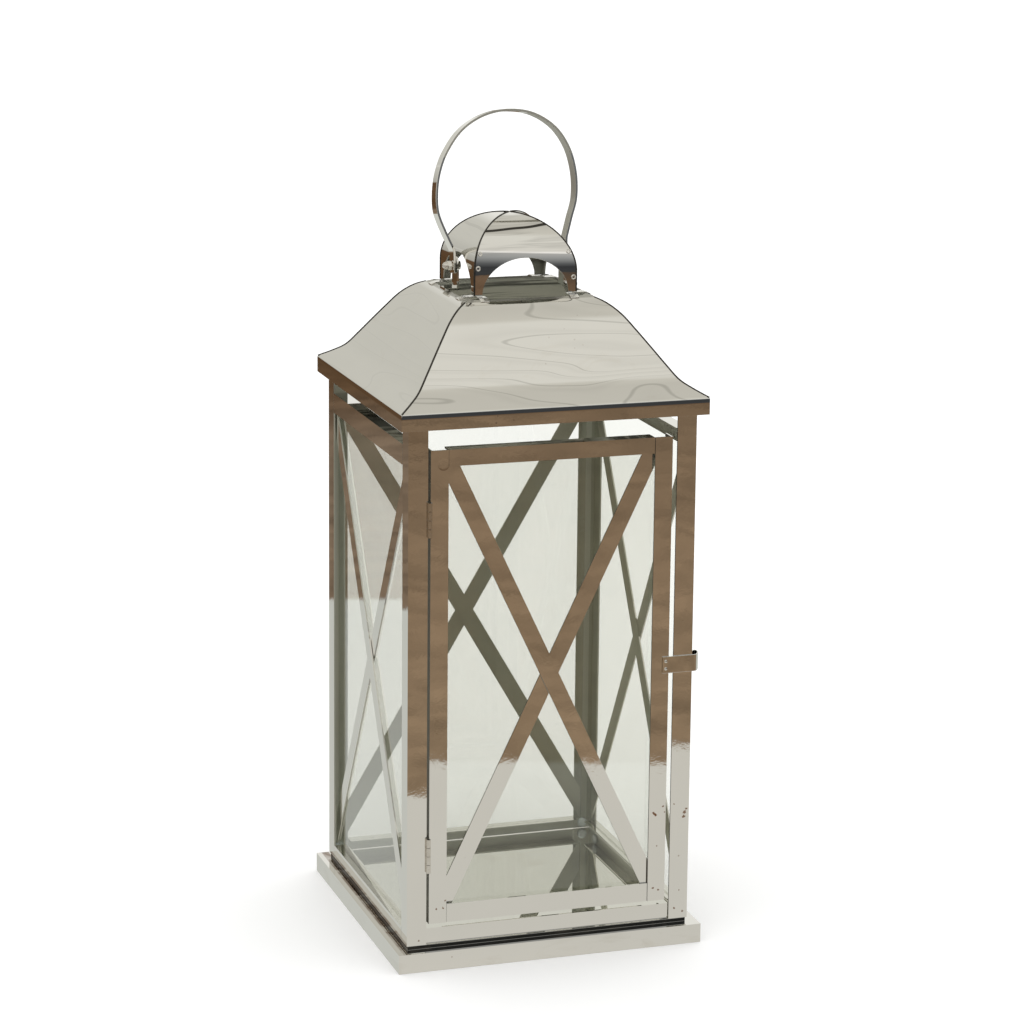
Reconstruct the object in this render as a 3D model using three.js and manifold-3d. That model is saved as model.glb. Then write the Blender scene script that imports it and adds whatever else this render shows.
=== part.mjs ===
// A square candle lantern in polished stainless steel and glass: a tray base, four angle posts,
// three fixed glazed sides, a hinged glazed door with a spring latch, an ogee roof with a
// four-legged crown over its vent, and a ring handle on two bolted lugs.
// Millimetres, +Z up, +X to the right of the door, -Y in front of it. The origin is the middle
// of the base, on the surface that the lantern stands on.
import * as THREE from "three";
import { mergeVertices } from "three/addons/utils/BufferGeometryUtils.js";
import Module from "manifold-3d";

const wasm = await Module();
wasm.setup();

// ---------------------------------------------------------------- driving dimensions
const GAP = 0.3; // clearance between two pieces that touch
const SHEET = 1.2; // folded steel sheet
const OVERCUT = 1; // how far a cutter passes the surface it opens
const SIDES_ROUND = { head: 12, pad: 16, nut: 18, pin: 20, pivot: 24 }; // facets of round pieces

const BASE = { half: 115, height: 14, lip: 9 };
const STEP = { half: 106, top: 16.9 };
const BODY = { half: 107, foot: 17.2, postLeg: 14.4, postTop: 399 };

const SILL = { bottom: 18.8, top: 29, depth: 10, setBack: 1.3, hem: 3 };
const SIDE = { railBottom: 17.4, railTop: 27, headBottom: 367.2, headTop: 382, flange: 10 };

const STRAP = { width: 12.5, thick: 1 };
const SIDE_STRAPS = { bottom: 45.5, top: 361 }; // where their centre lines meet the posts
const DOOR_STRAPS = { bottom: 49.8, top: 371 };
const PANE = { thick: 2.6, behindPost: 4, behindRail: 6 };
const BUMPER = { radius: 3.8, height: 2.2, back: 99.5, side: 90, z: 21.6 };

const DOOR = {
  left: -90.7,
  right: 89,
  bottom: 32.5,
  top: 379.2,
  stile: 13.1,
  topRail: 11.8,
  bottomRail: 13.7,
  depth: 12.5,
  railSetBack: 0.4,
};

const HINGE = {
  x: -91.7,
  y: -108.9,
  height: 25.4,
  levels: { lower: 71.5, upper: 317.4 },
  knuckle: 1.6,
  bore: 0.85,
  pin: 0.76,
  pinOver: 0.4,
  leaf: 0.45,
  postLeaf: -0.6,
  doorLeaf: 0.2,
  leafFront: 1.95,
  leafBack: 10,
  knuckles: 4,
};

const LATCH = { left: 84, bend: 109, bottom: 204.8, top: 217.2, thick: 0.8 };
// Centre line of the hook past the bend, seen from above.
const HOOK = [
  [110.2, -106.8],
  [113.1, -102.4],
  [114, -98.4],
  [113.7, -96.7],
  [112.5, -96],
  [111.2, -96.8],
  [107.9, -102],
];
const RIVET = {
  x: 86.4,
  levels: [208.2, 213.8],
  head: 1.2,
  dome: 0.8,
  shank: 0.55,
  hole: 0.95,
  length: 4,
  reach: 0.6,
};

const ROOF = { half: 114, skirtBottom: 395.2, eave: 407.5, thick: 1.3 };
// Half width and height along the slope, from the eave to the vent.
const SLOPE = [
  [ROOF.half, ROOF.eave],
  [104.5, 413],
  [96.5, 418.8],
  [89, 428.5],
  [81, 439.5],
  [72.5, 451],
  [64, 461.8],
  [55, 469.2],
  [45, 473.6],
];
const VENT = { half: 46.2, corner: 8, cutFrom: 440, cutTo: 500 };
const TAB = { near: 30.5, far: 37, inner: 37.4, outer: 48.7, bottom: 472.4, top: 474.3 };

const CROWN = { foot: 474.7, spring: 490, apex: 528.8, thick: 1 };
// Half width of the crown and fullness of its curve at each corner, from the front left one.
const CROWN_CORNERS = [
  { half: 38.6, power: 2.2 },
  { half: 38.6, power: 1.9 },
  { half: 38.8, power: 2 },
  { half: 40.2, power: 2 },
];
const ARCH = { half: 32.3, rise: 25.9 };
const STUD = { radius: 1.7, height: 0.9, sunk: 0.8 };
const STUDS = [
  [33.2, 503.8],
  [36.3, 485.4],
  [-33.6, 504.5],
  [-35.6, 494.3],
];

const PIVOT = { z: 491, shank: 1.7, hole: 1.8 };
const LUG = { inner: 39.9, thick: 1.6, width: 12, footBottom: 473.8, footEnd: 50.5, top: 497.6 };
const HANDLE = { inner: 41.8, thick: 1.8, width: 11, tail: 5.5, lean: 8.5 };
// Centre line of the hand-bent ring above the pivots, from its left kink over to its right one.
const RING = [
  [-48.7, 23.9],
  [-53.7, 38],
  [-54.2, 52],
  [-51.7, 66.8],
  [-45.7, 81.4],
  [-34.2, 96.6],
  [-18.4, 106.6],
  [0, 110.6],
  [20, 108],
  [36.8, 97.8],
  [47.2, 82.3],
  [51.7, 64],
  [51.4, 46],
  [47.3, 32],
];
const KINKS = { left: 10.5, right: 16.5 };
const NUT = { inner: 44, hex: 3, across: 3.6, dome: 3.8, bore: 4.4 };
const BOLT_HEAD = { radius: 3.2, height: 2 };

// ---------------------------------------------------------------- finishes
const polishedSteel = { color: 0xcfccc2, roughness: 0.08, metalness: 1 };
const springSteel = { color: 0xbdb8ac, roughness: 0.14, metalness: 1 };
const clearGlass = {
  color: 0xdfe6df,
  roughness: 0.03,
  metalness: 0,
  transparent: true,
  opacity: 0.25,
};
const clearRubber = { color: 0xb9c4bf, roughness: 0.35, metalness: 0 };

// ---------------------------------------------------------------- helpers
const lantern = new THREE.Group();

function named(parent, name, shape, finish) {
  const geometry = shape.isBufferGeometry ? shape : geometryOf(shape);
  const mesh = new THREE.Mesh(geometry, new THREE.MeshStandardMaterial(finish));
  mesh.name = name;
  parent.add(mesh);
  return mesh;
}

// A closed mesh as a solid that can be joined and cut.
function solid(geometry) {
  const bare = geometry.clone();
  bare.deleteAttribute("normal");
  bare.deleteAttribute("uv");
  const merged = mergeVertices(bare, 1e-4);
  const vertProperties = new Float32Array(merged.attributes.position.array);
  const triVerts = new Uint32Array(merged.index.array);
  return new wasm.Manifold(new wasm.Mesh({ numProp: 3, vertProperties, triVerts }));
}

function geometryOf(body) {
  const mesh = body.getMesh();
  const geometry = new THREE.BufferGeometry();
  geometry.setAttribute("position", new THREE.BufferAttribute(mesh.vertProperties, 3));
  geometry.setIndex(new THREE.BufferAttribute(mesh.triVerts, 1));
  geometry.computeVertexNormals();
  return geometry;
}

function joined(...geometries) {
  return geometries.map(solid).reduce((sum, next) => sum.add(next));
}

// A box between two positions on each axis, in either order.
function block([x0, x1], [y0, y1], [z0, z1]) {
  const box = new THREE.BoxGeometry(Math.abs(x1 - x0), Math.abs(y1 - y0), Math.abs(z1 - z0));
  return box.translate((x0 + x1) / 2, (y0 + y1) / 2, (z0 + z1) / 2);
}

function outline(points) {
  return new THREE.Shape(points.map(([x, y]) => new THREE.Vector2(x, y)));
}

function extruded(shape, depth, curveSegments = 6) {
  return new THREE.ExtrudeGeometry(shape, { depth, bevelEnabled: false, curveSegments });
}

// A rod along X, along Y or along Z.
function rodX([x0, x1], y, z, radius, sides) {
  const rod = new THREE.CylinderGeometry(radius, radius, x1 - x0, sides);
  return rod.rotateZ(-Math.PI / 2).translate((x0 + x1) / 2, y, z);
}

function rodY(radius, length) {
  return new THREE.CylinderGeometry(radius, radius, length, SIDES_ROUND.head);
}

function rodZ(x, y, [z0, z1], radius, sides) {
  const rod = new THREE.CylinderGeometry(radius, radius, z1 - z0, sides);
  return rod.rotateX(Math.PI / 2).translate(x, y, (z0 + z1) / 2);
}

// A strip of even thickness along a centre line in the XY plane, with its width along Z.
function bentStrip(centre, thick, width) {
  const left = [];
  const right = [];
  centre.forEach((point, i) => {
    const before = centre[Math.max(i - 1, 0)];
    const after = centre[Math.min(i + 1, centre.length - 1)];
    const along = after.clone().sub(before).normalize();
    const side = new THREE.Vector2(-along.y, along.x).multiplyScalar(thick / 2);
    left.push(point.clone().add(side));
    right.push(point.clone().sub(side));
  });
  return extruded(new THREE.Shape([...left, ...right.reverse()]), width);
}

// A dome-headed stud that stands on the plane y = 0 and points to -Y.
function domedStud(radius, height, sunk, sides) {
  const profile = [
    [0, -sunk],
    [radius, -sunk],
    [radius, height * 0.25],
    [radius * 0.75, height * 0.75],
    [radius * 0.35, height],
    [0, height],
  ].map(([r, h]) => new THREE.Vector2(r, h));
  return new THREE.LatheGeometry(profile, sides).rotateX(Math.PI).rotateY(Math.PI / sides);
}

// Carries a closed profile of [half width, height] round a square.
function fourSided(profile) {
  const points = profile.map(([half, z]) => new THREE.Vector2(half * Math.SQRT2, z));
  return solid(new THREE.LatheGeometry(points, 4, Math.PI / 4).rotateX(Math.PI / 2));
}

// The quarter of a square plan in front of both diagonals, less half a seam on each.
function frontQuarter(z0, z1) {
  const reach = 140;
  const seam = GAP / Math.SQRT2;
  const plan = outline([
    [0, -seam],
    [-reach, -reach - seam],
    [reach, -reach - seam],
  ]);
  return solid(extruded(plan, z1 - z0).translate(0, 0, z0));
}

// Points of a profile, moved to its inner side by the sheet's thickness.
function insetProfile(points, thick) {
  return points.map(([half, z], i) => {
    const [h0, z0] = points[Math.max(i - 1, 0)];
    const [h1, z1] = points[Math.min(i + 1, points.length - 1)];
    const length = Math.hypot(h1 - h0, z1 - z0);
    return [half - ((z1 - z0) / length) * thick, z + ((h1 - h0) / length) * thick];
  });
}

// ---------------------------------------------------------------- base
function baseTray() {
  const { half, height, lip } = BASE;
  const inside = half - SHEET;
  const open = half - lip;
  const square = (reach, z) => solid(block([-reach, reach], [-reach, reach], z));
  const outer = square(half, [0, height]).add(square(STEP.half, [SHEET, STEP.top]));
  const shell = outer.subtract(square(inside, [SHEET, height - SHEET]));
  const hollow = shell.subtract(square(STEP.half - SHEET, [2 * SHEET, STEP.top - SHEET]));
  return hollow.subtract(square(open, [-SHEET, 2 * SHEET]));
}

// ---------------------------------------------------------------- body frame
const FACE = -BODY.half; // front plane of the body
const POST_EDGE = BODY.half - BODY.postLeg; // where the posts leave the panels clear
const RAIL_END = POST_EDGE - GAP;
const SIDES = { front: 0, right: 1, back: 2, left: 3 };
const CORNERS = { front_left: 0, front_right: 1, back_right: 2, back_left: 3 };

function turned(turns) {
  const group = new THREE.Group();
  group.rotation.z = (turns * Math.PI) / 2;
  lantern.add(group);
  return group;
}

// An angle post that stands on the base tray's step, in the front left corner.
function cornerPost() {
  const leg = -POST_EDGE;
  const inner = FACE + SHEET;
  const section = outline([
    [FACE, FACE],
    [leg, FACE],
    [leg, inner],
    [inner, inner],
    [inner, leg],
    [FACE, leg],
  ]);
  return extruded(section, BODY.postTop - BODY.foot).translate(0, 0, BODY.foot);
}

// A flanged rail with a short hem behind its lower edge, down to the step.
function frontSill() {
  const front = FACE + SILL.setBack;
  const hem = [front + SHEET / 2, front + 2 * SHEET];
  return joined(
    block([-RAIL_END, RAIL_END], hem, [BODY.foot, SILL.bottom + SILL.hem]),
    block([-RAIL_END, RAIL_END], [front, front + SHEET], [SILL.bottom, SILL.top]),
    block([-RAIL_END, RAIL_END], [front, front + SILL.depth], [SILL.top - SHEET, SILL.top]),
  );
}

// ---------------------------------------------------------------- glazed panels
// Every panel is drawn in front of the body, facing -Y, and turned to its side.
const FRAME_BACK = FACE + DOOR.railSetBack + SHEET;
const STRAP_LAYERS = [FRAME_BACK + GAP, FRAME_BACK + 2 * GAP + STRAP.thick];
const PANE_FRONT = STRAP_LAYERS[1] + STRAP.thick + GAP;

// A strap along one diagonal of a rectangle, trimmed to the bed behind the frame.
function strap({ left, right, bottom, top }, bed, rising, y) {
  const wide = right - left;
  const tall = top - bottom;
  const middle = [(left + right) / 2, (top + bottom) / 2];
  const length = Math.hypot(wide, tall) + 6 * STRAP.width;
  const slope = Math.atan2(tall, wide) * (rising ? 1 : -1);
  const bar = new THREE.BoxGeometry(length, STRAP.thick, STRAP.width);
  bar.rotateY(-slope).translate(middle[0], y + STRAP.thick / 2, middle[1]);
  const window = block(
    [bed.left, bed.right],
    [y - STRAP.thick, y + 2 * STRAP.thick],
    [bed.bottom, bed.top],
  );
  return solid(bar).intersect(solid(window));
}

function glazing(parent, side, diagonals, bed) {
  const back = PANE_FRONT + PANE.thick;
  const pane = block([bed.left, bed.right], [PANE_FRONT, back], [bed.bottom, bed.top]);
  const falling = strap(diagonals, bed, false, STRAP_LAYERS[0]);
  const rising = strap(diagonals, bed, true, STRAP_LAYERS[1]);
  named(parent, `${side}_strap_falling`, falling, polishedSteel);
  named(parent, `${side}_strap_rising`, rising, polishedSteel);
  named(parent, `${side}_glass`, pane, clearGlass);
}

// A rail with a flange turned inward along its top edge.
function flangedRail(z0, z1) {
  return joined(
    block([-RAIL_END, RAIL_END], [FACE, FACE + SHEET], [z0, z1]),
    block([-RAIL_END, RAIL_END], [FACE, FACE + SIDE.flange], [z1 - SHEET, z1]),
  );
}

function bumper(across) {
  const pad = domedStud(BUMPER.radius, BUMPER.height, 0, SIDES_ROUND.pad);
  return pad.rotateZ(Math.PI).translate(across, FACE + SHEET + GAP, BUMPER.z);
}

function fixedPanel(side) {
  const panel = turned(SIDES[side]);
  const bottomRail = flangedRail(SIDE.railBottom, SIDE.railTop);
  const topRail = flangedRail(SIDE.headBottom, SIDE.headTop);
  named(panel, `${side}_bottom_rail`, bottomRail, polishedSteel);
  named(panel, `${side}_top_rail`, topRail, polishedSteel);
  const diagonals = { left: -POST_EDGE, right: POST_EDGE, ...SIDE_STRAPS };
  const bed = {
    left: -POST_EDGE - PANE.behindPost,
    right: POST_EDGE + PANE.behindPost,
    bottom: SIDE.railTop + GAP,
    top: SIDE.headBottom + PANE.behindRail,
  };
  glazing(panel, side, diagonals, bed);
}

function bumpers() {
  named(turned(SIDES.back), "bumper_back_left", bumper(BUMPER.back), clearRubber);
  named(turned(SIDES.back), "bumper_back_right", bumper(-BUMPER.back), clearRubber);
  named(turned(SIDES.left), "bumper_left", bumper(-BUMPER.side), clearRubber);
  named(turned(SIDES.right), "bumper_right", bumper(BUMPER.side), clearRubber);
}

// ---------------------------------------------------------------- door
// A stile with its outer edge folded back.
function stile(outer, inner) {
  const fold = outer + Math.sign(inner - outer) * SHEET;
  const tall = [DOOR.bottom, DOOR.top];
  return joined(
    block([outer, inner], [FACE, FACE + SHEET], tall),
    block([outer, fold], [FACE, FACE + DOOR.depth], tall),
  );
}

function doorRail(z0, z1, foldZ) {
  const across = [DOOR.left + DOOR.stile + GAP, DOOR.right - DOOR.stile - GAP];
  const front = FACE + DOOR.railSetBack;
  return joined(
    block(across, [front, front + SHEET], [z0, z1]),
    block(across, [front, front + DOOR.depth - SHEET], [foldZ, foldZ + SHEET]),
  );
}

function latchRivet(z) {
  const head = domedStud(RIVET.head, RIVET.dome, 0, SIDES_ROUND.head);
  head.translate(0, -LATCH.thick - GAP, 0);
  const shank = rodY(RIVET.shank, RIVET.length).translate(0, RIVET.reach, 0);
  const body = solid(head).add(solid(shank));
  return geometryOf(body).translate(RIVET.x, FACE - GAP, z);
}

function door() {
  const left = DOOR.left + DOOR.stile;
  const right = DOOR.right - DOOR.stile;
  const bottom = DOOR.bottom + DOOR.bottomRail;
  const top = DOOR.top - DOOR.topRail;
  const drilled = RIVET.levels.reduce((body, z) => {
    const drill = rodY(RIVET.hole, RIVET.length + 2 * OVERCUT);
    return body.subtract(solid(drill.translate(RIVET.x, FACE, z)));
  }, stile(DOOR.right, right));
  named(lantern, "door_left_stile", stile(DOOR.left, left), polishedSteel);
  named(lantern, "door_right_stile", drilled, polishedSteel);
  const foot = doorRail(DOOR.bottom, bottom, DOOR.bottom);
  const head = doorRail(top, DOOR.top, DOOR.top - SHEET);
  named(lantern, "door_bottom_rail", foot, polishedSteel);
  named(lantern, "door_top_rail", head, polishedSteel);
  const bed = {
    left: left - PANE.behindRail,
    right: right + PANE.behindRail,
    bottom: bottom - PANE.behindRail,
    top: top + PANE.behindRail,
  };
  glazing(lantern, "door", { left, right, ...DOOR_STRAPS }, bed);
}

// ---------------------------------------------------------------- hinges
// One leaf with the knuckles that it carries. Knuckle 0 is the lowest.
function hingeLeaf(level, leafX, first) {
  const { x, y, height, knuckles, leaf } = HINGE;
  const pitch = height / knuckles;
  const across = [x + leafX, x + leafX + leaf];
  const plate = block(across, [y + HINGE.leafFront, y + HINGE.leafBack], [level, level + height]);
  let body = solid(plate);
  for (let i = first; i < knuckles; i += 2) {
    const z = [level + i * pitch + GAP / 2, level + (i + 1) * pitch - GAP / 2];
    body = body.add(solid(rodZ(x, y, z, HINGE.knuckle, SIDES_ROUND.pin)));
    body = body.add(solid(block(across, [y + HINGE.knuckle / 2, y + HINGE.leafFront + 1], z)));
  }
  const bore = [level - OVERCUT, level + height + OVERCUT];
  return body.subtract(solid(rodZ(x, y, bore, HINGE.bore, SIDES_ROUND.pin)));
}

function hinge(place, level) {
  const { x, y, height, pin, pinOver } = HINGE;
  const shaft = rodZ(x, y, [level - pinOver, level + height + pinOver], pin, SIDES_ROUND.pin);
  named(lantern, `hinge_${place}_post_leaf`, hingeLeaf(level, HINGE.postLeaf, 0), springSteel);
  named(lantern, `hinge_${place}_door_leaf`, hingeLeaf(level, HINGE.doorLeaf, 1), springSteel);
  named(lantern, `hinge_${place}_pin`, shaft, springSteel);
}

// ---------------------------------------------------------------- latch
// A flat spring riveted to the door, whose end curls round the corner of the post.
function latchStrap() {
  const y = FACE - GAP - LATCH.thick / 2;
  const centre = [
    [LATCH.left, y],
    [LATCH.bend, y],
    ...HOOK,
  ].map(([x, depth]) => new THREE.Vector2(x, depth));
  const strip = bentStrip(centre, LATCH.thick, LATCH.top - LATCH.bottom);
  return RIVET.levels.reduce((body, z) => {
    const drill = rodY(RIVET.hole, RIVET.length + 2 * OVERCUT);
    return body.subtract(solid(drill.translate(RIVET.x, y, z)));
  }, solid(strip.translate(0, 0, LATCH.bottom)));
}

// ---------------------------------------------------------------- roof
function roofSlope() {
  const knots = SLOPE.map(([half, z]) => new THREE.Vector2(half, z));
  return new THREE.SplineCurve(knots).getPoints(26).map((p) => [p.x, p.y]);
}

function ventHole() {
  const { half, corner, cutFrom, cutTo } = VENT;
  const plan = new THREE.Shape();
  plan.moveTo(half - corner, -half);
  plan.absarc(half - corner, -half + corner, corner, -Math.PI / 2, 0, false);
  plan.absarc(half - corner, half - corner, corner, 0, Math.PI / 2, false);
  plan.absarc(-half + corner, half - corner, corner, Math.PI / 2, Math.PI, false);
  plan.absarc(-half + corner, -half + corner, corner, Math.PI, 1.5 * Math.PI, false);
  return solid(extruded(plan, cutTo - cutFrom).translate(0, 0, cutFrom));
}

// One side of the roof with its skirt, and two tabs at the vent for the crown to stand on.
function roofPanel() {
  const slope = roofSlope();
  const under = insetProfile(slope, ROOF.thick);
  const skirtInner = ROOF.half - ROOF.thick;
  under[0] = [skirtInner, ROOF.eave - ROOF.thick];
  const profile = [
    [skirtInner, ROOF.skirtBottom],
    [ROOF.half, ROOF.skirtBottom],
    ...slope,
    ...under.reverse(),
    [skirtInner, ROOF.skirtBottom],
  ];
  let body = fourSided(profile).subtract(ventHole());
  for (const sign of [-1, 1]) {
    const across = [sign * TAB.near, sign * TAB.far];
    body = body.add(solid(block(across, [-TAB.outer, -TAB.inner], [TAB.bottom, TAB.top])));
  }
  return body.intersect(frontQuarter(ROOF.skirtBottom - OVERCUT, TAB.top + OVERCUT));
}

// ---------------------------------------------------------------- crown
const CROWN_RISE = CROWN.apex - CROWN.spring;

// Half width on the diagonal at a height, for a corner with a given half width and fullness.
function crownHalf({ half, power }, z, rise) {
  const up = Math.min(1, Math.max(0, (z - CROWN.spring) / rise));
  return half * (1 - up ** power) ** (1 / power);
}

// A solid dome on a four-cornered plan, whose corners follow their own curves to the apex.
function crownDome(inset) {
  const rise = CROWN_RISE - inset;
  const steps = 18;
  const levels = [CROWN.foot];
  for (let i = 0; i < steps; i += 1) {
    levels.push(CROWN.spring + rise * Math.sin((i / steps) * (Math.PI / 2)));
  }
  const signs = [[-1, -1], [1, -1], [1, 1], [-1, 1]];
  const vertices = levels.flatMap((z) =>
    CROWN_CORNERS.flatMap(({ half, power }, i) => {
      const reach = crownHalf({ half: half - inset, power }, z, rise);
      return [signs[i][0] * reach, signs[i][1] * reach, z];
    }),
  );
  const apex = vertices.length / 3;
  vertices.push(0, 0, CROWN.spring + rise);
  const faces = [0, 2, 1, 0, 3, 2];
  levels.forEach((_, row) => {
    for (let i = 0; i < 4; i += 1) {
      const here = 4 * row + i;
      const next = 4 * row + ((i + 1) % 4);
      if (row === levels.length - 1) {
        faces.push(here, next, apex);
      } else {
        faces.push(here, next, next + 4, here, next + 4, here + 4);
      }
    }
  });
  const geometry = new THREE.BufferGeometry();
  geometry.setAttribute("position", new THREE.Float32BufferAttribute(vertices, 3));
  geometry.setIndex(faces);
  return solid(geometry);
}

function archway() {
  const arch = new THREE.Shape();
  arch.moveTo(-ARCH.half, -OVERCUT);
  arch.lineTo(ARCH.half, -OVERCUT);
  arch.absellipse(0, 0, ARCH.half, ARCH.rise, 0, Math.PI, false, 0);
  const cut = extruded(arch, 3 * ARCH.half, 14);
  return solid(cut.rotateX(Math.PI / 2).translate(0, 0, CROWN.foot));
}

// One quarter of the crown, with an arch between its two half legs.
function crownGore(turns) {
  const quarter = frontQuarter(CROWN.foot - OVERCUT, CROWN.apex + OVERCUT);
  const dome = crownDome(0).subtract(crownDome(CROWN.thick));
  const shell = dome.rotate([0, 0, -90 * turns]);
  return shell.intersect(quarter).subtract(archway());
}

// The front and back gores lap over the other two and carry rivets along their edges.
function rivetedGore(turns) {
  return STUDS.reduce((body, [across, z]) => {
    const corner = CROWN_CORNERS[(turns + (across > 0 ? 1 : 0)) % 4];
    const depth = crownHalf(corner, z, CROWN_RISE);
    const stud = domedStud(STUD.radius, STUD.height, STUD.sunk, SIDES_ROUND.head);
    return body.add(solid(stud.translate(across, -depth, z)));
  }, crownGore(turns));
}

// ---------------------------------------------------------------- handle
function lug() {
  const { inner, thick, width, footBottom, footEnd, top } = LUG;
  const half = width / 2;
  const shape = joined(
    block([inner, inner + thick], [-half, half], [footBottom, top - half + 1]),
    rodX([inner, inner + thick], 0, PIVOT.z, top - PIVOT.z, SIDES_ROUND.pivot),
    block([inner, footEnd], [-half, half], [footBottom, footBottom + thick]),
  );
  const through = [inner - OVERCUT, inner + thick + OVERCUT];
  return shape.subtract(solid(rodX(through, 0, PIVOT.z, PIVOT.hole, SIDES_ROUND.pivot)));
}

function pivotBolt() {
  const start = LUG.inner - GAP;
  const shank = [start - BOLT_HEAD.height / 2, NUT.inner + NUT.bore - GAP];
  return joined(
    rodX([start - BOLT_HEAD.height, start], 0, PIVOT.z, BOLT_HEAD.radius, SIDES_ROUND.pin),
    rodX(shank, 0, PIVOT.z, PIVOT.shank, SIDES_ROUND.pivot),
  );
}

function domeNut() {
  const hexEnd = NUT.inner + NUT.hex;
  const dome = [
    [0, 0],
    [NUT.across * 0.8, 0],
    [NUT.across * 0.76, NUT.dome * 0.4],
    [NUT.across * 0.55, NUT.dome * 0.8],
    [NUT.across * 0.25, NUT.dome],
    [0, NUT.dome],
  ].map(([r, h]) => new THREE.Vector2(r, h));
  const cap = new THREE.LatheGeometry(dome, SIDES_ROUND.nut).rotateZ(-Math.PI / 2);
  const body = joined(
    rodX([NUT.inner, hexEnd + 0.2], 0, PIVOT.z, NUT.across, 6),
    cap.translate(hexEnd, 0, PIVOT.z),
  );
  const depth = [NUT.inner - OVERCUT, NUT.inner + NUT.bore];
  const bore = rodX(depth, 0, PIVOT.z, PIVOT.hole, SIDES_ROUND.pivot);
  return body.subtract(solid(bore));
}

// A strip bent to a ring, with kinked ends that hang on the two pivots.
function handleRing() {
  const x = HANDLE.inner + HANDLE.thick / 2;
  const knots = RING.map(([across, up]) => new THREE.Vector2(across, up));
  const centre = [
    new THREE.Vector2(-x, -HANDLE.tail),
    new THREE.Vector2(-x, KINKS.left),
    ...new THREE.SplineCurve(knots).getPoints(52),
    new THREE.Vector2(x, KINKS.right),
    new THREE.Vector2(x, -HANDLE.tail),
  ];
  const strip = bentStrip(centre, HANDLE.thick, HANDLE.width).rotateX(Math.PI / 2);
  const body = solid(strip.translate(0, HANDLE.width / 2, 0));
  const through = [-x - HANDLE.thick, x + HANDLE.thick];
  return body.subtract(solid(rodX(through, 0, 0, PIVOT.hole, SIDES_ROUND.pivot)));
}

function handle() {
  const ring = named(lantern, "handle_ring", handleRing(), polishedSteel);
  ring.position.z = PIVOT.z;
  ring.rotation.x = -THREE.MathUtils.degToRad(HANDLE.lean);
  for (const hand of ["right", "left"]) {
    const group = turned(hand === "right" ? 0 : 2);
    named(group, `handle_lug_${hand}`, lug(), polishedSteel);
    named(group, `handle_bolt_${hand}`, pivotBolt(), springSteel);
    named(group, `handle_nut_${hand}`, domeNut(), springSteel);
  }
}

// ---------------------------------------------------------------- assembly
named(lantern, "base_tray", baseTray(), polishedSteel);
for (const [corner, turns] of Object.entries(CORNERS)) {
  named(turned(turns), `post_${corner}`, cornerPost(), polishedSteel);
}
named(lantern, "front_sill", frontSill(), polishedSteel);
for (const side of ["right", "back", "left"]) {
  fixedPanel(side);
}
bumpers();
door();
for (const [place, level] of Object.entries(HINGE.levels)) {
  hinge(place, level);
}
named(lantern, "latch_strap", latchStrap(), springSteel);
RIVET.levels.forEach((z, i) => {
  named(lantern, i ? "latch_rivet_upper" : "latch_rivet_lower", latchRivet(z), springSteel);
});
for (const [side, turns] of Object.entries(SIDES)) {
  named(turned(turns), `roof_panel_${side}`, roofPanel(), polishedSteel);
  const gore = turns % 2 ? crownGore(turns) : rivetedGore(turns);
  named(turned(turns), `crown_gore_${side}`, gore, polishedSteel);
}
handle();

export default lantern;
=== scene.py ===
import math

import bpy
from mathutils import Matrix, Vector


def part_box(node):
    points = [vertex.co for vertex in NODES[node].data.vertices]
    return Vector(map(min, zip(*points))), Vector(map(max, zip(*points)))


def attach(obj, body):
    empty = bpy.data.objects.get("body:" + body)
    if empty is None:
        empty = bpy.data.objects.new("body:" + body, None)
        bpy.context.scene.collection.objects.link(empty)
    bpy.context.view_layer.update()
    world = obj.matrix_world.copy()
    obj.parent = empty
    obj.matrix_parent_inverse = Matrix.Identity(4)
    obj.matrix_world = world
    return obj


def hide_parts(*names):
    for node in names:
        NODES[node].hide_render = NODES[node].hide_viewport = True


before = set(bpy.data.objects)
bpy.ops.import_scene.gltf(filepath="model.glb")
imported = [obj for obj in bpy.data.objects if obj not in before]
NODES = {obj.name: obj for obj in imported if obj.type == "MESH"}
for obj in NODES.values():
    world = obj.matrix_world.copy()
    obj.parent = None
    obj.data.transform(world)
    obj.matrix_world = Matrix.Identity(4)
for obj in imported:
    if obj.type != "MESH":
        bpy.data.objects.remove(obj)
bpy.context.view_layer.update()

MM = 0.001
# Quarter turns from the front.
SIDES = {"front": 0, "right": 1, "back": 2, "left": 3}


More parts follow.
